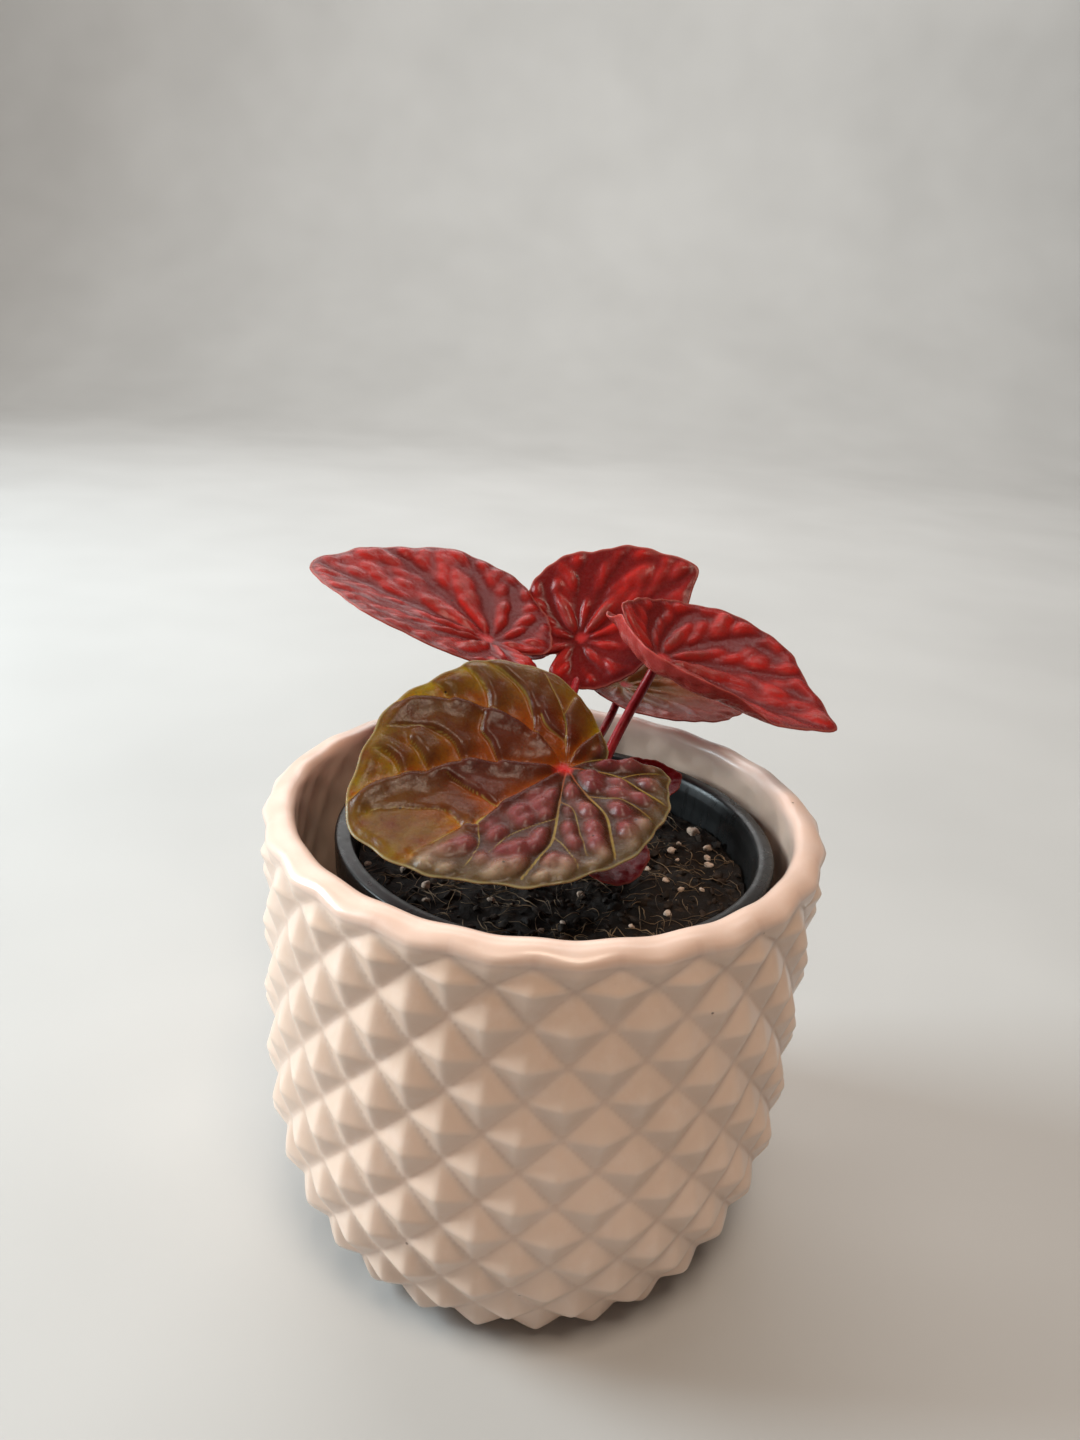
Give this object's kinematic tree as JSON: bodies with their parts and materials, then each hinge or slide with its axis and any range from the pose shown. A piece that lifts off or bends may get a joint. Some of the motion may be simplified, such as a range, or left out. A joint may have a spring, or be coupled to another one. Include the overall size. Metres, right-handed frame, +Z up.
{
  "type": "potted ripple peperomia",
  "caption": "Ripple peperomia with puckered red and olive heart-shaped leaves, growing in a black nursery pot that stands in a blush glazed cover pot with a pyramid relief.",
  "frame": {"origin": "centre of the cover pot's flat underside, on the surface it stands on", "axes": "+Z up out of the soil, -Y towards the viewer of the picture, +X to that viewer's right"},
  "size_m": [0.1362, 0.144, 0.1618],
  "materials": {
    "blush_glaze": "satin",
    "black_plastic": "semi-matte",
    "dark_peat": "rough, crumbly",
    "crown_green": "fleshy stem, matte",
    "olive_burgundy_leaf": "waxy, semi-gloss",
    "crimson_leaf": "waxy, semi-gloss"
  },
  "bodies": {
    "root": {"cover_pot": "blush_glaze", "nursery_pot": "black_plastic", "soil": "dark_peat", "crown": "crown_green", "leaf_front": "olive_burgundy_leaf", "leaf_left": "crimson_leaf", "leaf_back": "crimson_leaf", "leaf_right": "crimson_leaf", "leaf_back_right": "crimson_leaf", "leaf_small_back": "crimson_leaf", "leaf_low_front": "crimson_leaf", "leaf_low_right": "crimson_leaf"}
  },
  "joints": []
}
